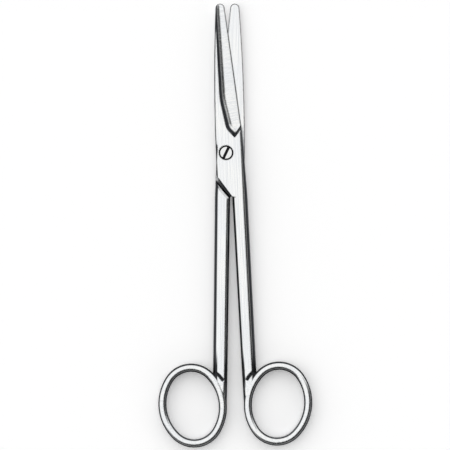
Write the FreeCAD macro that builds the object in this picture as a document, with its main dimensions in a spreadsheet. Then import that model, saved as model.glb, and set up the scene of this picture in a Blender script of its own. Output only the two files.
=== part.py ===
import FreeCAD, Part
import os
import Sketcher

# Straight dissecting scissors, 170 mm long: two forged steel halves with finger rings and a slotted screw.
# Millimetres and degrees. Z is up, Y runs along the centre line to the tips, the pivot is the Z axis,
# and the scissors lie flat on Z = 0, a little open.
#
# Both halves come from one forging, which is drawn once, as it lies in the closed scissors: blade on the
# left, shank and ring on the right, centre line at X = 0, pivot at Y = 0, and the lap plane, where the two
# halves slide on each other, at Z = 0. The front half is that forging, and the rear half is it turned over.

DRIVING_SIZES = (
    # Plan of the blade: distances from the centre line and up from the pivot
    ("blade_straight", 55.9),
    ("tip_back", 2.85),
    ("tip_edge", 0.58),
    ("tip_radius", 1.78),
    ("heel_side", 4.62),
    ("heel_up", 10.2),
    ("back_radius", 700.0),
    # Plan of the lap: the slab that each half has at the joint
    ("lap_corner_side", 5.55),
    ("lap_corner_down", 9.0),
    ("lap_end_down", 17.1),
    ("joint_side", 5.08),
    ("joint_side_up", 3.5),
    # Thicknesses
    ("lap_thick", 2.5),
    ("lap_play", 0.04),
    ("tip_thick", 1.5),
    ("taper_start", 9.5),
    ("blade_round", 0.7),
    # Shank: a bar with a strongly rounded outer side
    ("shank_side", 5.75),
    ("shank_clear", 0.16),
    ("shank_clear_joint", -0.12),
    ("shank_end_thick", 4.6),
    ("outer_round", 2.2),
    ("inner_round", 1.6),
    ("heel_round", 0.55),
    ("joint_round", 1.3),
    ("shoulder_angle", 49.0),
    ("shoulder_clear", 0.15),
    ("shoulder_rake", 0.3),
    ("shoulder_bevel_wide", 0.85),
    ("shoulder_bevel_deep", 0.42),
    # Finger ring: an oval band on an oval path, leaning outward at the top
    ("ring_side", 13.4),
    ("ring_down", 96.9),
    ("ring_hole_wide", 20.0),
    ("ring_hole_long", 26.0),
    ("ring_band", 3.08),
    ("ring_end_radius", 9.9),
    ("ring_crown_radius", 2.1),
    ("ring_thick", 5.0),
    ("ring_lean", 8.0),
    ("shank_run_out", 82.5),
    ("crease_up", 1.7),
    ("crease_reach", 14.1),
    ("crease_round", 0.5),
    ("crease_lift", 0.05),
    ("crease_start", 98.0),
    ("crease_sweep", 47.0),
    # Ground bevel of the blade, seen in the plane that hinges on the cutting edge
    ("bevel_slope", 6.8),
    ("edge_land", 0.35),
    ("bevel_tip_wide", 3.3),
    ("bevel_root_wide", 6.2),
    ("bevel_root_up", 11.1),
    ("bevel_knee_wide", 5.0),
    ("bevel_knee_down", 0.2),
    ("bevel_corner_wide", 2.75),
    ("bevel_corner_down", 3.1),
    ("bevel_exit_down", 0.1),
    ("bevel_wall_lean", 32.0),
    ("bevel_wall_radius", 3.2),
    ("lip_wall_lean", 12.0),
    ("lip_wall_radius", 1.0),
    ("bevel_root_radius", 30.0),
    ("bevel_knee_radius", 6.0),
    # Hollow ground into the inner face
    ("hollow_radius", 26.0),
    ("hollow_depth", 0.14),
    ("hollow_start", 11.0),
    ("hollow_side", 0.3),
    # Pivot screw
    ("pivot_offset", 1.61),
    ("head_wide", 4.9),
    ("head_thick", 1.2),
    ("head_bevel", 0.2),
    ("head_clear", 0.1),
    ("seat_play", 0.03),
    ("slot_wide", 0.95),
    ("slot_deep", 0.75),
    ("slot_turn", 26.75),
    ("neck_wide", 3.8),
    ("neck_clear", 0.03),
    ("thread_wide", 3.0),
    ("thread_clear", 0.03),
    ("end_recess", 0.1),
    # How far each half is turned from closed, as drawn
    ("half_turn", 1.75),
)

# Nearer than this is the same plane
FLAT = 0.001
UP = FreeCAD.Vector(0, 0, 1)
ACROSS = FreeCAD.Vector(0, 1, 0)

doc = FreeCAD.newDocument("dissecting_scissors")
size = doc.addObject("Spreadsheet::Sheet", "size")
for row, (alias, value) in enumerate(DRIVING_SIZES, start=1):
    size.set(f"A{row}", alias)
    size.set(f"B{row}", str(value))
    size.setAlias(f"B{row}", alias)
doc.recompute()


def worked_out(expression):
    """The present value of an expression on the sheet, in millimetres or degrees."""
    value = size.evalExpression(str(expression))
    return float(getattr(value, "Value", value))


def place(thing, prop, base=("0", "0", "0"), axis=UP, angle="0"):
    """Bind a placement to the sheet: where its origin is and how far it turns about an axis."""
    setattr(thing, prop, FreeCAD.Placement(FreeCAD.Vector(), FreeCAD.Rotation(axis, 90)))
    for letter, expression in zip("xyz", base):
        thing.setExpression(f"{prop}.Base.{letter}", expression)
    thing.setExpression(f"{prop}.Rotation.Angle", angle)


def add_sketch(body, name, role, base=("0", "0", "0"), axis=UP, angle="0"):
    """A sketch on one of the body's own origin planes, moved off it by bound sizes."""
    sketch = body.newObject("Sketcher::SketchObject", name)
    plane = next(feature for feature in body.Origin.OriginFeatures if feature.Role == role)
    sketch.AttachmentSupport = (plane, [""])
    sketch.MapMode = "FlatFace"
    place(sketch, "AttachmentOffset", base, axis, angle)
    return sketch


def pin(sketch, kind, segment, end, expression):
    """Hold one end of a segment at a bound distance from the sketch's origin."""
    origin = (-1, 1)
    number = sketch.addConstraint(Sketcher.Constraint(kind, *origin, segment, end, worked_out(expression)))
    sketch.setExpression(f"Constraints[{number}]", expression)


def draw_outline(sketch, corners, arcs=None):
    """Draw a closed outline through corners given as expressions, counter-clockwise.

    arcs gives the radius of each side that is an arc, by the number of the corner that it starts from.
    """
    arcs = arcs or {}
    points = [FreeCAD.Vector(worked_out(across), worked_out(along), 0) for across, along in corners]
    for number, start in enumerate(points):
        end = points[(number + 1) % len(points)]
        if number in arcs:
            radius = worked_out(arcs[number])
            chord = end - start
            inward = FreeCAD.Vector(-chord.y, chord.x, 0).normalize()
            centre = (start + end) / 2 + inward * (radius ** 2 - (chord.Length / 2) ** 2) ** 0.5
            circle = Part.Circle(centre, UP, radius)
            first = circle.parameter(start)
            last = circle.parameter(end)
            sketch.addGeometry(Part.ArcOfCircle(circle, first, last), False)
        else:
            sketch.addGeometry(Part.LineSegment(start, end), False)
    for number, (across, along) in enumerate(corners):
        before = (number - 1) % len(corners)
        sketch.addConstraint(Sketcher.Constraint("Coincident", before, 2, number, 1))
        pin(sketch, "DistanceX", number, 1, across)
        pin(sketch, "DistanceY", number, 1, along)
    for number, radius in arcs.items():
        held = sketch.addConstraint(Sketcher.Constraint("Radius", number, worked_out(radius)))
        sketch.setExpression(f"Constraints[{held}]", radius)


def add_feature(body, kind, name, profile, **bound):
    """A feature of a body on a sketch, with its bound sizes."""
    feature = body.newObject(f"PartDesign::{kind}", name)
    feature.Profile = profile
    for prop, expression in bound.items():
        feature.setExpression(prop, expression)
    return feature


def edge_at(shape, point):
    """The name of the edge of a shape that passes nearest to a point."""
    probe = Part.Vertex(point)
    gaps = [probe.distToShape(edge)[0] for edge in shape.Edges]
    return f"Edge{gaps.index(min(gaps)) + 1}"


def round_edges(body, name, base, edges, radius):
    """Round some edges of the body's last feature."""
    fillet = body.newObject("PartDesign::Fillet", name)
    fillet.Base = (base, edges)
    fillet.setExpression("Radius", radius)
    return fillet


# Places that several features share
PLATE_FACE = "size.lap_play / 2"
SHANK_INSIDE = "size.shank_clear"
JOINT_INSIDE = "size.shank_clear_joint"
SHANK_MIDDLE = "(size.shank_side + size.shank_clear) / 2"
TIP_PAST = "size.blade_straight + size.tip_back + size.tip_edge"
EDGE_LEAN = "atan((size.heel_side - size.tip_edge) / (size.blade_straight - size.heel_up))"
RING_MIDDLE = ("size.ring_side", "-size.ring_down", "0")


def add_lap_plate(body):
    """The blade and the lap slab: one plate, with its inner face on the lap plane."""
    sketch = add_sketch(body, "plate_plan", "XY_Plane", base=("0", "0", PLATE_FACE))
    draw_outline(sketch, (
        ("size.heel_side", "size.heel_up"),
        ("size.tip_edge", "size.blade_straight"),
        ("-size.tip_back", "size.blade_straight"),
        ("-size.lap_corner_side", "-size.lap_corner_down"),
        (JOINT_INSIDE, "-size.lap_end_down"),
        (SHANK_MIDDLE, "-size.lap_end_down"),
        (SHANK_MIDDLE, "size.joint_side_up"),
    ), arcs={1: "size.tip_radius", 2: "size.back_radius"})
    return add_feature(body, "Pad", "plate", sketch, Length=f"size.lap_thick - {PLATE_FACE}")


def taper_blade(body):
    """Thin the blade towards its tip, from the outer face."""
    sketch = add_sketch(body, "taper_side", "YZ_Plane")
    fall = "(size.lap_thick - size.tip_thick) / (size.blade_straight - size.taper_start)"
    tip_level = f"size.lap_thick - {fall} * ({TIP_PAST} - size.taper_start)"
    draw_outline(sketch, (
        ("size.taper_start", "size.lap_thick"),
        (TIP_PAST, tip_level),
        (TIP_PAST, "size.lap_thick"),
    ))
    taper = add_feature(body, "Pocket", "taper", sketch, Length="4 * size.lap_corner_side")
    taper.Midplane = True
    return taper


def round_back(body, base):
    """Round the outer edge of the blade's back and tip, and of the joint's side."""
    doc.recompute()
    level = worked_out("size.lap_thick")
    tip_level = worked_out("size.tip_thick")
    joint_side = FreeCAD.Vector(-worked_out("size.lap_corner_side"), 0, level)
    blade_side = FreeCAD.Vector(-worked_out("(size.lap_corner_side + size.tip_back) / 2"),
                                worked_out("size.blade_straight / 2"), (level + tip_level) / 2)
    tip_end = FreeCAD.Vector(-worked_out("(size.tip_back - size.tip_edge) / 2"),
                             worked_out("size.blade_straight + size.tip_radius"), tip_level)
    edges = [edge_at(base.Shape, point) for point in (joint_side, blade_side, tip_end)]
    return round_edges(body, "back_round", base, edges, "size.blade_round")


def bar_section(body, name, along, side, thick, outer_round, inner_round="size.inner_round",
                inside=JOINT_INSIDE):
    """One cross-section of the bar that runs from the cutting edge's heel down to the ring."""
    sketch = add_sketch(body, name, "XZ_Plane", base=("0", "0", f"-({along})"))
    half = f"({thick}) / 2"
    draw_outline(sketch, (
        (f"{inside} + {inner_round}", f"-{half}"),
        (f"{side} - {outer_round}", f"-{half}"),
        (side, f"{outer_round} - {half}"),
        (side, f"{half} - {outer_round}"),
        (f"{side} - {outer_round}", half),
        (f"{inside} + {inner_round}", half),
        (inside, f"{half} - {inner_round}"),
        (inside, f"{inner_round} - {half}"),
    ), arcs={1: outer_round, 3: outer_round, 5: inner_round, 7: inner_round})
    return sketch


def add_bar(body):
    """The outer side of the joint and the shank, lofted through cross-sections."""
    full = "2 * size.lap_thick"
    heel = bar_section(body, "heel_section", "size.heel_up", "size.heel_side", full, "size.heel_round")
    joint = bar_section(body, "joint_section", "size.joint_side_up", "size.joint_side", full,
                        "size.joint_round")
    shoulder = bar_section(body, "shoulder_section", "-size.lap_end_down", "size.shank_side", full,
                           "size.outer_round")
    lower = bar_section(body, "lower_section", "-size.shank_run_out", "size.shank_side",
                        "size.shank_end_thick", "size.outer_round", inside=SHANK_INSIDE)
    ring_edge = "size.ring_side - size.ring_hole_wide / 2 - size.ring_band"
    end = bar_section(body, "end_section", "-size.ring_down - 1", "size.shank_side",
                      "size.shank_end_thick", "size.outer_round", inside=ring_edge)
    stretches = (("heel_side", heel, joint), ("joint_side", joint, shoulder), ("shank", shoulder, lower),
                 ("shank_end", lower, end))
    for name, upper_section, lower_section in stretches:
        stretch = add_feature(body, "AdditiveLoft", name, upper_section)
        stretch.Sections = [lower_section]


def mill_lap(body):
    """Mill the lap flat, down to a raked shoulder that stops short of the other half's slab."""
    sketch = add_sketch(body, "lap_cutter", "YZ_Plane",
                        base=("-size.lap_end_down - size.shoulder_clear", "0", JOINT_INSIDE),
                        axis=ACROSS, angle="size.shoulder_angle")
    draw_outline(sketch, (
        ("-size.shoulder_rake", "size.shoulder_bevel_deep - size.lap_thick"),
        ("-size.shoulder_rake - size.shoulder_bevel_wide", "-size.lap_thick"),
        ("-size.shoulder_rake - size.shoulder_bevel_wide", "-2 * size.lap_thick"),
        ("2 * size.lap_end_down", "-2 * size.lap_thick"),
        ("2 * size.lap_end_down", PLATE_FACE),
        (str(FLAT), PLATE_FACE),
    ))
    lap = add_feature(body, "Pocket", "lap", sketch, Length="4 * size.lap_end_down")
    lap.Midplane = True
    return lap


def forge_blank():
    """The forging before its ring is closed and its blade is ground."""
    body = doc.addObject("PartDesign::Body", "forging_blank")
    add_lap_plate(body)
    taper = taper_blade(body)
    round_back(body, taper)
    add_bar(body)
    mill_lap(body)
    return body


def add_shape(kind, name, **bound):
    """A primitive or a boolean, with its bound sizes."""
    shape = doc.addObject(f"Part::{kind}", name)
    for prop, expression in bound.items():
        shape.setExpression(prop, expression)
    return shape


def combine(kind, name, first, second):
    """Cut the second shape from the first, fuse the two, or keep what they share."""
    result = doc.addObject(f"Part::{kind}", name)
    result.Base = first
    result.Tool = second
    result.Refine = True
    return result


def fuse_all(name, shapes):
    """Several tools as one."""
    group = doc.addObject("Part::MultiFuse", name)
    group.Shapes = shapes
    return group


# The middle line of the ring's band is an oval of four arcs, about the ring's own middle
RING_HALF_LONG = "((size.ring_hole_long + size.ring_band) / 2)"
RING_HALF_WIDE = "((size.ring_hole_wide + size.ring_band) / 2)"
END_CENTRE = f"({RING_HALF_LONG} - size.ring_end_radius)"
SIDE_RADIUS = (f"(({RING_HALF_WIDE} ^ 2 + {END_CENTRE} ^ 2 - size.ring_end_radius ^ 2)"
               f" / (2 * ({RING_HALF_WIDE} - size.ring_end_radius)))")
SIDE_CENTRE = f"({SIDE_RADIUS} - {RING_HALF_WIDE})"
ARC_JOIN = f"atan({END_CENTRE} / {SIDE_CENTRE})"
# Where the band's flat walls meet its crowned faces
CROWN_START = ("(size.ring_thick / 2 - size.ring_crown_radius"
               " + sqrt(size.ring_crown_radius ^ 2 - (size.ring_band / 2) ^ 2))")


def ring_arc(name, middle, centre, sweep, upright):
    """One of the ring's four arcs: its crowned section, turned half the sweep to each side of the middle."""
    axis, angle = upright
    section = doc.addObject("Sketcher::SketchObject", f"{name}_section")
    place(section, "Placement", base=middle, axis=axis, angle=angle)
    draw_outline(section, (
        (CROWN_START, "-size.ring_band / 2"),
        (CROWN_START, "size.ring_band / 2"),
        (f"-{CROWN_START}", "size.ring_band / 2"),
        (f"-{CROWN_START}", "-size.ring_band / 2"),
    ), arcs={0: "size.ring_crown_radius", 2: "size.ring_crown_radius"})
    arc = doc.addObject("Part::Revolution", name)
    arc.Source = section
    arc.Axis = UP
    arc.Solid = True
    arc.Symmetric = True
    arc.setExpression("Angle", sweep)
    arc.setExpression("Base.x", centre[0])
    arc.setExpression("Base.y", centre[1])
    return arc


def finger_ring():
    """The finger ring: a band with crowned faces, bent round its oval middle line."""
    end_sweep, side_sweep = f"180 deg - 2 * {ARC_JOIN}", f"2 * {ARC_JOIN}"
    at_end, at_side = (ACROSS, "-90"), (FreeCAD.Vector(1, 1, 1), "-120")
    arcs = []
    for name, sign in (("top", ""), ("bottom", "-")):
        arcs.append(ring_arc(f"ring_{name}", ("0", f"{sign}{RING_HALF_LONG}", "0"),
                             ("0", f"{sign}{END_CENTRE}"), end_sweep, at_end))
    for name, sign, other in (("right", "", "-"), ("left", "-", "")):
        arcs.append(ring_arc(f"ring_{name}", (f"{sign}{RING_HALF_WIDE}", "0", "0"),
                             (f"{other}{SIDE_CENTRE}", "0"), side_sweep, at_side))
    ring = fuse_all("finger_ring", arcs)
    place(ring, "Placement", base=RING_MIDDLE, angle="-size.ring_lean")
    return ring


def ring_oval(name):
    """The oval that the ring's middle line follows, as a plan."""
    oval = add_shape("Ellipse", name, MajorRadius=RING_HALF_LONG, MinorRadius=RING_HALF_WIDE)
    place(oval, "Placement", angle="90")
    return oval


def open_ring():
    """What is cleared out of the shank's end inside the ring's middle line."""
    core = add_shape("Extrusion", "ring_core", LengthFwd="2 * size.ring_thick")
    core.Base = ring_oval("ring_core_plan")
    core.Solid = True
    core.Symmetric = True
    place(core, "Placement", base=RING_MIDDLE, angle="-size.ring_lean")
    return core


def crease_tool(name, sign):
    """The round groove that sets the ring off from the shank, on one face."""
    groove = add_shape("Torus", name, Radius1="size.crease_reach", Radius2="size.crease_round",
                       Angle3="size.crease_sweep")
    place(groove, "Placement",
          base=("size.ring_side", "size.crease_up - size.ring_down",
                f"{sign}(size.shank_end_thick / 2 + size.crease_lift)"),
          angle="size.crease_start")
    return groove


def bevel_plane_pad(name, corners, lean, bends=()):
    """A block that stands on the bevel's plane, which hinges on the cutting edge, with leaning walls."""
    block = doc.addObject("PartDesign::Body", name)
    place(block, "Placement", base=("size.heel_side", "size.heel_up", "0"), angle=EDGE_LEAN)
    plan = add_sketch(block, f"{name}_plan", "XY_Plane", base=("0", "0", "size.edge_land"), axis=ACROSS,
                      angle="size.bevel_slope")
    draw_outline(plan, corners)
    solid = add_feature(block, "Pad", f"{name}_pad", plan, Length="3 * size.lap_thick",
                        TaperAngle=lean)
    for number, (corner, radius) in enumerate(bends):
        doc.recompute()
        across, along = corners[corner]
        foot = plan.Placement.multVec(FreeCAD.Vector(worked_out(across), worked_out(along), 0))
        rising = wall_edge(solid.Shape, plan, foot)
        solid = round_edges(block, f"{name}_bend_{number}", solid, [rising], radius)
    doc.recompute()
    return block, plan, solid


def wall_edge(shape, plan, foot):
    """The name of the edge that rises from a corner of the plan."""
    for number, edge in enumerate(shape.Edges, start=1):
        ends = [vertex.Point for vertex in edge.Vertexes]
        touching = [end for end in ends if (end - foot).Length < FLAT]
        rises = any(plan.Placement.inverse().multVec(end).z > FLAT for end in ends)
        if touching and rises:
            return f"Edge{number}"
    raise RuntimeError("no edge rises from that corner")


def hollow_wall(block, plan, solid, radius, is_wall):
    """Round the foot of the block's walls, which leaves a concave wall beside the bevel."""
    to_plan = plan.Placement.inverse()
    edges = []
    for number, edge in enumerate(solid.Shape.Edges, start=1):
        middle = to_plan.multVec(edge.valueAt((edge.FirstParameter + edge.LastParameter) / 2))
        if abs(middle.z) < FLAT and is_wall(middle):
            edges.append(f"Edge{number}")
    round_edges(block, f"{block.Name}_wall", solid, edges, radius)


def bevel_tool():
    """What is ground off the blade's outer face: right of the ridge, and above the lip at the heel."""
    past_tip = "(size.blade_straight - size.heel_up + 2 * size.tip_radius)"
    past_edge = "size.lap_thick"
    far_side = "2 * size.bevel_root_wide"
    knee_slope = ("((size.bevel_corner_down - size.bevel_knee_down)"
                  " / (size.bevel_knee_wide - size.bevel_corner_wide))")
    lip_slope = "((size.bevel_corner_down - size.bevel_exit_down) / size.bevel_corner_wide)"
    side, side_plan, side_solid = bevel_plane_pad("bevel_side", (
        (past_edge, past_tip),
        ("-size.bevel_tip_wide", past_tip),
        ("-size.bevel_root_wide", "size.bevel_root_up"),
        ("-size.bevel_knee_wide", "-size.bevel_knee_down"),
        (past_edge, f"-size.bevel_knee_down - {knee_slope} * (size.bevel_knee_wide + {past_edge})"),
    ), lean="size.bevel_wall_lean", bends=((2, "size.bevel_root_radius"), (3, "size.bevel_knee_radius")))
    tip_line = worked_out(past_tip) - FLAT
    edge_line = worked_out(past_edge) - FLAT
    hollow_wall(side, side_plan, side_solid, "size.bevel_wall_radius",
                lambda foot: foot.x < edge_line and foot.y < tip_line)
    lip, lip_plan, lip_solid = bevel_plane_pad("bevel_lip", (
        (past_edge, past_tip),
        (f"-{far_side}", past_tip),
        (f"-{far_side}", f"-{lip_slope} * {far_side} - size.bevel_exit_down"),
        (past_edge, f"{lip_slope} * {past_edge} - size.bevel_exit_down"),
    ), lean="size.lip_wall_lean")
    far_line = worked_out(far_side) - FLAT
    hollow_wall(lip, lip_plan, lip_solid, "size.lip_wall_radius",
                lambda foot: -far_line < foot.x < edge_line and foot.y < 0)
    return combine("Common", "bevel_tool", side, lip)


def hollow_tool():
    """A long slender cylinder that hollows the blade's inner face and runs out before the tip."""
    reach = "(size.blade_straight - size.hollow_start)"
    hollow = add_shape("Cylinder", "hollow_tool", Radius="size.hollow_radius", Height=reach)
    lean, dive = f"{EDGE_LEAN} / 2", f"atan(size.hollow_depth / {reach})"
    hollow.setExpression("Placement.Rotation", f"rotation(vector(0; 0; 1); {lean})"
                                               f" * rotation(vector(1; 0; 0); -90 deg - {dive})")
    hollow.setExpression("Placement.Base.x", "size.hollow_side")
    hollow.setExpression("Placement.Base.y", "size.hollow_start")
    hollow.setExpression("Placement.Base.z", f"{PLATE_FACE} + size.hollow_depth - size.hollow_radius")
    return hollow


def forge_half():
    """The forging that both halves are made from."""
    open_blank = combine("Cut", "open_blank", forge_blank(), open_ring())
    closed_blank = combine("Fuse", "closed_blank", open_blank, finger_ring())
    tools = [crease_tool("crease_outer", ""), crease_tool("crease_inner", "-"), bevel_tool(), hollow_tool()]
    return combine("Cut", "forging", closed_blank, fuse_all("grinding", tools))


# The screw's profile, from its slotted head down to its end, gives the holes theirs
HEAD_TOP = "size.lap_thick"
SEAT = "size.lap_thick - size.head_thick"
THREAD_END = "size.end_recess - size.lap_thick"


def turned(name, steps, across="0"):
    """A turned body or tool about the pivot: steps of radius and level, from the bottom up."""
    body = doc.addObject("PartDesign::Body", name)
    sketch = add_sketch(body, f"{name}_profile", "XZ_Plane")
    axis_line = [("0.0", steps[-1][1]), ("0.0", steps[0][1])]
    draw_outline(sketch, [*steps, *axis_line])
    solid = add_feature(body, "Revolution", f"{name}_turned", sketch)
    solid.ReferenceAxis = (sketch, ["V_Axis"])
    place(body, "Placement", base=(across, "0", "0"))
    return body, solid


def front_hole():
    """The neck's running hole, and the seat that the screw's head is sunk in."""
    neck = "size.neck_wide / 2 + size.neck_clear"
    seat = "size.head_wide / 2 + size.head_clear"
    steps = (
        (neck, "-size.lap_thick"),
        (neck, f"{SEAT} - size.seat_play"),
        (seat, f"{SEAT} - size.seat_play"),
        (seat, f"{HEAD_TOP} - size.head_bevel"),
        (f"{seat} + 2 * size.head_bevel", f"{HEAD_TOP} + size.head_bevel"),
    )
    return turned("front_hole", steps, across="-size.pivot_offset")[0]


def rear_hole():
    """The tapped hole, plain at the thread's outer diameter."""
    bore = "size.thread_wide / 2 + size.thread_clear"
    steps = (
        (bore, "-size.lap_thick"),
        (bore, "size.lap_thick + size.head_bevel"),
    )
    return turned("rear_hole", steps, across="size.pivot_offset")[0]


def make_screw():
    """The slotted pivot screw: head, plain neck that the front half turns on, and thread."""
    head = "size.head_wide / 2"
    neck = "size.neck_wide / 2"
    thread = "size.thread_wide / 2"
    steps = (
        (f"{thread} - size.head_bevel", THREAD_END),
        (thread, f"{THREAD_END} + size.head_bevel"),
        (thread, f"-{PLATE_FACE}"),
        (neck, f"-{PLATE_FACE}"),
        (neck, SEAT),
        (head, SEAT),
        (head, f"{HEAD_TOP} - size.head_bevel"),
        (f"{head} - size.head_bevel", HEAD_TOP),
    )
    body, turned_screw = turned("pivot_screw", steps)
    doc.recompute()
    slot = add_sketch(body, "slot_plan", "XY_Plane", base=("0", "0", HEAD_TOP), angle="-size.slot_turn")
    draw_outline(slot, (
        ("-size.slot_wide / 2", "-size.head_wide"),
        ("size.slot_wide / 2", "-size.head_wide"),
        ("size.slot_wide / 2", "size.head_wide"),
        ("-size.slot_wide / 2", "size.head_wide"),
    ))
    add_feature(body, "Pocket", "slot", slot, Length="size.slot_deep")
    place(body, "Placement", base=("0", "0", "size.lap_thick"))
    return body


def assemble():
    """The front half, the rear half and the screw, each in its place as drawn."""
    forging = forge_half()
    front = combine("Cut", "front_half", forging, front_hole())
    place(front, "Placement", angle="size.half_turn",
          base=("size.pivot_offset * cos(size.half_turn)", "size.pivot_offset * sin(size.half_turn)",
                "size.lap_thick"))
    rear = combine("Cut", "rear_half", forging, rear_hole())
    place(rear, "Placement", axis=ACROSS, angle="180",
          base=("size.pivot_offset * cos(size.half_turn)", "-size.pivot_offset * sin(size.half_turn)",
                "size.lap_thick"))
    rear.setExpression("Placement.Rotation.Axis.x", "sin(size.half_turn / 2)")
    rear.setExpression("Placement.Rotation.Axis.y", "cos(size.half_turn / 2)")
    return front, rear, make_screw()


def check_and_write(pieces):
    """Stop on any failed object or bad solid, and then write one file for each piece."""
    doc.recompute()
    failed = [obj.Label for obj in doc.Objects if "Invalid" in obj.State or "Error" in obj.State]
    if failed:
        raise RuntimeError(f"failed objects: {failed}")
    for piece in pieces:
        shape = piece.Shape
        if shape.isNull() or not shape.isValid() or len(shape.Solids) != 1:
            raise RuntimeError(f"{piece.Label} isn't one valid solid")
    os.makedirs("parts", exist_ok=True)
    for piece in pieces:
        piece.Shape.exportStep(f"parts/{piece.Label}.step")
        print(piece.Label, round(piece.Shape.Volume, 1), "cubic mm")


check_and_write(assemble())
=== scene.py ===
"""Looks for straight dissecting scissors: surgical steel, a white board and a soft studio light."""
import math

import bpy
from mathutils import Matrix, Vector

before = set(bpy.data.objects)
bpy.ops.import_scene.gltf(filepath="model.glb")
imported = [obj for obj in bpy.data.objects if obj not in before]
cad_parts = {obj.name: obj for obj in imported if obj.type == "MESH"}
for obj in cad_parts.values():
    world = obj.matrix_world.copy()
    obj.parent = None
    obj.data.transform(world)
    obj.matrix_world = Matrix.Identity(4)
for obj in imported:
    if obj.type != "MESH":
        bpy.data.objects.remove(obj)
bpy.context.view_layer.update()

MM = 0.001

# How far each half is turned back, in degrees, so that its length runs along Y
HALF_TURN = {"front_half": -1.75, "rear_half": 1.75}
# The plane in which the halves slide on each other, and the top of the screw's head
LAP_HEIGHT = 2.5 * MM
SCREW_TOP = 5.0 * MM

# Map Range's smooth step, which every fade uses
SMOOTH = {"interpolation_type": "SMOOTHSTEP"}

# Each pair from here on is a fade: the value at which it starts, and the one at which it ends.
# How level a surface is, from 0 for a wall to 1 for a flat face
POLISHED_FACE = (0.82, 0.93)
ROUNDED_SIDE = (0.08, 0.28)
SCREW_FACE = (0.78, 0.95)
# How far the blade's ground bevel leans to the side, and where it ends near the pivot
BEVEL_LEAN = (0.03, 0.08)
BEVEL_FOOT = (3 * MM, 5 * MM)
# Along a half from the pivot: where the tumbled ring gives way to the ground shank, and the ends
# of the ring's root
RING_TO_SHANK = (-86 * MM, -80 * MM)
RING_ROOT_BELOW = (-92 * MM, -87 * MM)
RING_ROOT_ABOVE = (-74 * MM, -82 * MM)
# How far from the lap plane the creases at the ring's root lie, just under the faces
CREASE_LEVEL = (2.27 * MM, 2.19 * MM)
# How open a place is, from 0 in a closed gap to 1 on an open face; closed gaps are painted dark as
# shade
CREVICE_SHADE_FADE = (0.36, 0.8)
# How well the facing with rounded edges agrees with the plain one
EDGE_TO_FACE = (0.94, 0.995)
# Heights at which the screw's face gives way to its slot, and those of its far end
SLOT_DEPTH = (SCREW_TOP - 0.15 * MM, SCREW_TOP - 0.4 * MM)
SCREW_FAR_END = (0.6 * MM, 1.0 * MM)

# How wide a gap has to be to count as open, and how wide the edges are rounded and painted dark as
# shade
GAP_WIDTH = 2.6 * MM
STONED_EDGE = 0.75 * MM
SCREW_EDGE = 0.2 * MM
# The grind in the blade's bevel, in degrees from its length
CROSS_GRIND_TURN = 82
# Roughness of the polished faces and of the screw's head, each from smooth to grainy, and of the
# blasted places and the screw's slot
FACE_ROUGHNESS = (0.12, 0.2)
HEAD_ROUGHNESS = (0.14, 0.26)
BLASTED_ROUGHNESS = 0.3
SLOT_ROUGHNESS = 0.5

# The middle of the broad soft light and of the small one, their soft edges, and how bright the
# light, the dark side and the low sky are
LIGHT_FROM = Vector((-0.42, 0.52, 0.74)).normalized()
LIGHT_EDGE = (0.49, 0.605)
LIGHT_LEVEL = 1.18
FILL_FROM = Vector((0.59, 0.53, 0.61)).normalized()
FILL_EDGE = (0.9, 0.96)
DARK_SIDE = 0.02
LOW_SKY = 0.7
LOW_SKY_EDGE = (0.72, 0.36)

# The board's reach in metres, far past the picture, how far it lies under the steel, and the light
# that lifts it to white
BOARD_REACH = 4.0
BOARD_DROP = 0.02 * MM
BOARD_LIFT = 0.24

# The picture's size and scale, where the pivot lies in it, how far it is turned, and the lens
PICTURE_PIXELS = 450
MM_PER_PIXEL = 0.3832
PIVOT_PIXEL = (226.1, 152.9)
CAMERA_TURN = math.radians(1.15)
LENS, SENSOR = 250, 36


def srgb(hex_colour):
    """A shader colour from an sRGB hex value."""
    channels = [int(hex_colour[i:i + 2], 16) / 255 for i in (1, 3, 5)]
    linear = [c / 12.92 if c <= 0.04045 else ((c + 0.055) / 1.055) ** 2.4 for c in channels]
    return (*linear, 1.0)


def add_node(tree, kind, inputs=(), **settings):
    """Add a shader node with its settings.

    Inputs are a list, in the order of the inputs in use, or a dictionary by name. Each is a value,
    a socket to link, or a node, which stands for its first output in use."""
    node = tree.nodes.new(f"ShaderNode{kind}")
    for name, value in settings.items():
        setattr(node, name, value)
    in_use = [socket for socket in node.inputs if socket.enabled]
    for key, source in inputs.items() if isinstance(inputs, dict) else enumerate(inputs):
        target = in_use[key] if isinstance(key, int) else node.inputs[key]
        if isinstance(source, bpy.types.Node):
            source = next(socket for socket in source.outputs if socket.enabled)
        if isinstance(source, bpy.types.NodeSocket):
            tree.links.new(source, target)
        else:
            target.default_value = source
    return node


def new_material(name):
    """An empty node material and its tree."""
    material = bpy.data.materials.new(name)
    material.use_nodes = True
    material.node_tree.nodes.clear()
    return material, material.node_tree


def grinding_lines(tree, place, spacing, length):
    """Fine lines along Y, `spacing` apart and about `length` long."""
    stretched = add_node(tree, "Mapping", {
        "Vector": place, "Scale": (1 / spacing, 1 / length, 1 / spacing)})
    return add_node(tree, "TexNoise", {
        "Vector": stretched, "Scale": 1.0, "Detail": 3.0, "Roughness": 0.6})


def open_to_light(tree):
    """1 on open faces, 0 deep in the joint's gaps and round the screw, where the colour is painted
    dark as shade.
    """
    hidden = add_node(tree, "AmbientOcclusion", {"Distance": GAP_WIDTH}, samples=12)
    return add_node(tree, "MapRange", [hidden.outputs["AO"], *CREVICE_SHADE_FADE], **SMOOTH)


def rounded_edges(tree, radius):
    """The facing with every edge rounded, and a mask: 1 on the faces, 0 along the edges, where the
    colour is painted dark as shade.
    """
    rounded = add_node(tree, "Bevel", {"Radius": radius}, samples=8)
    face = add_node(tree, "NewGeometry").outputs["True Normal"]
    kept = add_node(tree, "VectorMath", [rounded, face], operation="DOT_PRODUCT")
    return rounded, add_node(tree, "MapRange", [kept, *EDGE_TO_FACE], **SMOOTH)


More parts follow.
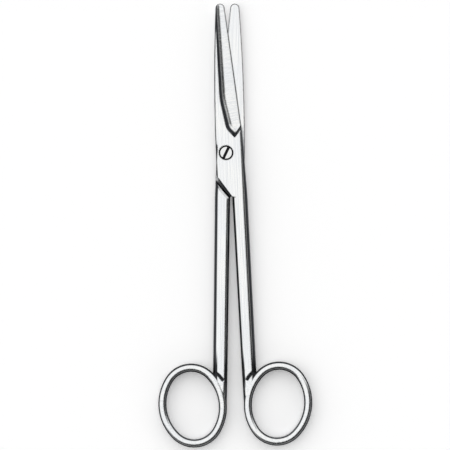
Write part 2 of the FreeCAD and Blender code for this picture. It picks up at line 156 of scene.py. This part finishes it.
def finish_steel(tree, colour, rough, relief, relief_height, rounded):
    """The shader that both steels share."""
    bump = add_node(tree, "Bump", {
        "Height": relief, "Strength": 0.35, "Distance": relief_height, "Normal": rounded})
    steel = add_node(tree, "BsdfPrincipled", {
        "Base Color": colour, "Metallic": 1.0, "Roughness": rough, "Normal": bump})
    add_node(tree, "OutputMaterial", {"Surface": steel})


def satin_forged_steel(name, turn):
    """Martensitic stainless steel, drop forged, ground along its length and satin polished.

    To the eye: bright, slightly cool white faces with a soft lengthwise grain, cross grain in the
    blade's ground bevel, smooth tumbled finger rings, grey walls that are partly a duller blasted
    finish and partly painted shade, and near black rounded edges, creases and gaps, which are
    painted shade."""
    material, tree = new_material(name)
    coordinates = add_node(tree, "TexCoord").outputs
    place = add_node(tree, "Mapping", {
        "Vector": coordinates["Object"], "Rotation": (0, 0, math.radians(turn))})
    axes = add_node(tree, "SeparateXYZ", [place]).outputs
    along = axes["Y"]
    facing = add_node(tree, "SeparateXYZ", [coordinates["Normal"]]).outputs
    upright = add_node(tree, "Math", [facing["Z"]], operation="ABSOLUTE")
    side_lean = add_node(tree, "Math", [facing["X"]], operation="ABSOLUTE")

    # Real polishing lines are 0.02 to 0.05 mm apart, too fine for the picture. They are drawn
    # 0.35 mm apart on the faces and 0.4 mm apart in the bevel, where they run nearly across.
    lengthwise = grinding_lines(tree, place, 0.35 * MM, 26 * MM)
    crossed = add_node(tree, "Mapping", {
        "Vector": place, "Rotation": (0, 0, math.radians(CROSS_GRIND_TURN))})
    crosswise = grinding_lines(tree, crossed, 0.4 * MM, 9 * MM)
    tumbled = add_node(tree, "TexNoise", {
        "Vector": place, "Scale": 1 / (0.9 * MM), "Detail": 4.0, "Roughness": 0.65})
    leaning = add_node(tree, "MapRange", [side_lean, *BEVEL_LEAN], **SMOOTH)
    past_foot = add_node(tree, "MapRange", [along, *BEVEL_FOOT], **SMOOTH)
    bevel = add_node(tree, "Math", [leaning, past_foot], operation="MULTIPLY")
    lines = add_node(tree, "Mix", [bevel, lengthwise, crosswise])
    ground = add_node(tree, "MapRange", [along, *RING_TO_SHANK], **SMOOTH)
    relief = add_node(tree, "Mix", [ground, tumbled, lines])

    # The wheel leaves soft clouds of tone on the faces, and a greyer tone in the grain's valleys.
    clouds = add_node(tree, "TexNoise", {
        "Vector": place, "Scale": 1 / (14 * MM), "Detail": 3.0, "Roughness": 0.5})
    cloudy = add_node(tree, "MapRange", [clouds, 0.3, 0.7], **SMOOTH)
    face = add_node(tree, "Mix", [cloudy, srgb("#E2E4E6"), srgb("#EAEAE8")], data_type="RGBA")
    raised = add_node(tree, "MapRange", [relief, 0.32, 0.62], **SMOOTH)
    face = add_node(tree, "Mix", [raised, srgb("#D8DADC"), face], data_type="RGBA")
    # The edges are taken off by stoning and tumbling, which rounds them in the shading; along them
    # the colour is painted darker as shade.
    rounded, away_from_shaded_edges = rounded_edges(tree, STONED_EDGE)
    level_face = add_node(tree, "MapRange", [upright, *POLISHED_FACE], **SMOOTH)
    polished_and_unshaded = add_node(tree, "Math", [level_face, away_from_shaded_edges], operation="MULTIPLY")
    # The creases where the rings join lie under the faces, and are painted dark too, as shade in
    # the creases.
    from_lap = add_node(tree, "Math", [axes["Z"], LAP_HEIGHT], operation="SUBTRACT")
    from_lap = add_node(tree, "Math", [from_lap], operation="ABSOLUTE")
    sunken = add_node(tree, "MapRange", [from_lap, *CREASE_LEVEL], **SMOOTH)
    above_ring = add_node(tree, "MapRange", [along, *RING_ROOT_BELOW], **SMOOTH)
    below_shank = add_node(tree, "MapRange", [along, *RING_ROOT_ABOVE], **SMOOTH)
    ring_root = add_node(tree, "Math", [above_ring, below_shank], operation="MULTIPLY")
    crease_shade = add_node(tree, "Math", [sunken, ring_root], operation="MULTIPLY")
    outside_painted_shade = add_node(tree, "Math", [open_to_light(tree), crease_shade], operation="SUBTRACT")
    # Walls are grey, partly a duller blasted finish and partly painted shade, and the roundings
    # above them are painted near black as shade.
    leaning_side = add_node(tree, "MapRange", [upright, *ROUNDED_SIDE], **SMOOTH)
    blasted_and_shaded_flanks = add_node(tree, "Mix", [leaning_side, srgb("#A6A8AB"), srgb("#333538")],
                      data_type="RGBA")
    colour = add_node(tree, "Mix", [polished_and_unshaded, blasted_and_shaded_flanks, face], data_type="RGBA")
    # Painted shade: deep gaps, the joint and the creases are coloured near black.
    colour = add_node(tree, "Mix", [outside_painted_shade, srgb("#2E2F31"), colour], data_type="RGBA")
    rough = add_node(tree, "MapRange", [relief, 0.3, 0.7, *FACE_ROUGHNESS])
    bright = add_node(tree, "Math", [polished_and_unshaded, outside_painted_shade], operation="MULTIPLY")
    rough = add_node(tree, "Mix", [bright, BLASTED_ROUGHNESS, rough])
    finish_steel(tree, colour, rough, relief, 0.045 * MM, rounded)
    return material


def turned_steel(name):
    """Stainless steel bar, turned on a lathe and lightly polished.

    To the eye: a white disc with fine rings round the screw's axis, and a dark rim and slot, which
    are painted shade."""
    material, tree = new_material(name)
    coordinates = add_node(tree, "TexCoord").outputs
    place = coordinates["Object"]
    height = add_node(tree, "SeparateXYZ", [place]).outputs["Z"]
    facing = add_node(tree, "SeparateXYZ", [coordinates["Normal"]]).outputs
    upright = add_node(tree, "Math", [facing["Z"]], operation="ABSOLUTE")

    # Real turning marks are about 0.05 mm apart; 0.45 mm lets them show. A wave repeats 20 times
    # for a scale of 1.
    rings = add_node(tree, "TexWave", {
        "Vector": place, "Scale": 1 / (0.45 * MM) / 20, "Distortion": 0.6, "Detail": 2.0,
        "Detail Scale": 1.5}, wave_type="RINGS", rings_direction="Z").outputs["Fac"]
    specks = add_node(tree, "TexNoise", {
        "Vector": place, "Scale": 1 / (0.5 * MM), "Detail": 3.0})
    relief = add_node(tree, "Mix", [0.35, rings, specks])

    below_head = add_node(tree, "MapRange", [height, *SLOT_DEPTH], **SMOOTH)
    above_end = add_node(tree, "MapRange", [height, *SCREW_FAR_END], **SMOOTH)
    slot = add_node(tree, "Math", [below_head, above_end], operation="MULTIPLY")
    rounded, away_from_shaded_edges = rounded_edges(tree, SCREW_EDGE)
    level_face = add_node(tree, "MapRange", [upright, *SCREW_FACE], **SMOOTH)
    unshaded_disc = add_node(tree, "Math", [level_face, away_from_shaded_edges], operation="MULTIPLY")
    bright = add_node(tree, "Mix", [specks, srgb("#DCDEDF"), srgb("#E4E4E2")], data_type="RGBA")
    # Painted shade: the rim round the disc is coloured dark.
    head = add_node(tree, "Mix", [unshaded_disc, srgb("#3A3B3E"), bright], data_type="RGBA")
    # Painted shade: the slot, and all of the screw below its face, is coloured near black.
    colour = add_node(tree, "Mix", [slot, head, srgb("#242527")], data_type="RGBA")
    rough = add_node(tree, "MapRange", [relief, 0.0, 1.0, *HEAD_ROUGHNESS])
    rough = add_node(tree, "Mix", [slot, rough, SLOT_ROUGHNESS])
    finish_steel(tree, colour, rough, relief, 0.015 * MM, rounded)
    return material


def give_material(node_name, material):
    """Put the material in every slot of a CAD node's object."""
    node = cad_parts[node_name]
    if not node.material_slots:
        node.data.materials.append(material)
    for slot in node.material_slots:
        slot.material = material


def matt_white_board():
    """Board with matt white paint, rolled on.

    To the eye: an even pale ground with a faint stipple, which takes a soft shadow."""
    material, tree = new_material("matt_white_board")
    place = add_node(tree, "TexCoord").outputs["Object"]
    stipple = add_node(tree, "TexNoise", {"Vector": place, "Scale": 1 / (4 * MM), "Detail": 2.0})
    bump = add_node(tree, "Bump", {"Height": stipple, "Strength": 0.04, "Distance": 0.05 * MM})
    paint = add_node(tree, "BsdfPrincipled", {
        "Base Color": srgb("#FAFAFA"), "Roughness": 0.9, "Normal": bump})
    # The board is lifted to white for the camera and for the steel that mirrors it, and keeps
    # its shadow.
    ray = add_node(tree, "LightPath").outputs
    mirrored = add_node(tree, "Math", [ray["Is Glossy Ray"], ray["Is Transmission Ray"]],
                        operation="MAXIMUM")
    seen = add_node(tree, "Math", [ray["Is Camera Ray"], mirrored], operation="MAXIMUM")
    lift = add_node(tree, "Math", [seen, BOARD_LIFT], operation="MULTIPLY")
    lift = add_node(tree, "Emission", {"Strength": lift})
    both = add_node(tree, "AddShader", [paint, lift])
    add_node(tree, "OutputMaterial", {"Surface": both})
    return material


def add_board():
    """A large pale board just under the scissors."""
    corners = [(x * BOARD_REACH, y * BOARD_REACH, -BOARD_DROP)
               for x, y in ((-1, -1), (1, -1), (1, 1), (-1, 1))]
    mesh = bpy.data.meshes.new("table")
    mesh.from_pydata(corners, [], [range(len(corners))])
    mesh.materials.append(matt_white_board())
    board = bpy.data.objects.new("table", mesh)
    bpy.context.collection.objects.link(board)


def studio_light():
    """A broad soft light at the upper left, a small one at the upper right, dark lower right."""
    world = bpy.data.worlds.new("studio")
    bpy.context.scene.world = world
    world.use_nodes = True
    tree = world.node_tree
    tree.nodes.clear()
    direction = add_node(tree, "TexCoord").outputs["Generated"]
    main = add_node(tree, "VectorMath", [direction, LIGHT_FROM], operation="DOT_PRODUCT")
    main = add_node(tree, "MapRange", [main, *LIGHT_EDGE], **SMOOTH)
    fill = add_node(tree, "VectorMath", [direction, FILL_FROM], operation="DOT_PRODUCT")
    fill = add_node(tree, "MapRange", [fill, *FILL_EDGE], **SMOOTH)
    lit = add_node(tree, "Math", [main, fill], operation="MAXIMUM")
    height = add_node(tree, "SeparateXYZ", [direction]).outputs["Z"]
    low = add_node(tree, "MapRange", [height, *LOW_SKY_EDGE], **SMOOTH)
    unlit = add_node(tree, "Mix", [low, DARK_SIDE, LOW_SKY])
    level = add_node(tree, "Mix", [lit, unlit, LIGHT_LEVEL])
    sky = add_node(tree, "Background", {"Color": (1, 1, 1, 1), "Strength": level})
    add_node(tree, "OutputWorld", {"Surface": sky})


def add_camera():
    """Straight above, turned and framed as in the picture."""
    right = Vector((math.cos(CAMERA_TURN), -math.sin(CAMERA_TURN), 0))
    up = Vector((math.sin(CAMERA_TURN), math.cos(CAMERA_TURN), 0))
    across, down = [PICTURE_PIXELS / 2 - pixel for pixel in PIVOT_PIXEL]
    middle = (right * across - up * down) * MM_PER_PIXEL * MM
    data = bpy.data.cameras.new("camera")
    data.lens, data.sensor_width = LENS, SENSOR
    distance = MM_PER_PIXEL * PICTURE_PIXELS * MM * LENS / SENSOR
    camera = bpy.data.objects.new("camera", data)
    camera.location = middle + Vector((0, 0, LAP_HEIGHT + distance))
    camera.rotation_euler = (0, 0, -CAMERA_TURN)
    data.clip_start, data.clip_end = 0.01, 20
    bpy.context.collection.objects.link(camera)
    bpy.context.scene.camera = camera


for half, turn in HALF_TURN.items():
    give_material(half, satin_forged_steel(f"satin_forged_steel_{half}", turn))
give_material("pivot_screw", turned_steel("turned_steel_screw"))
bpy.context.scene.view_settings.view_transform = "Standard"
add_board()
studio_light()
add_camera()
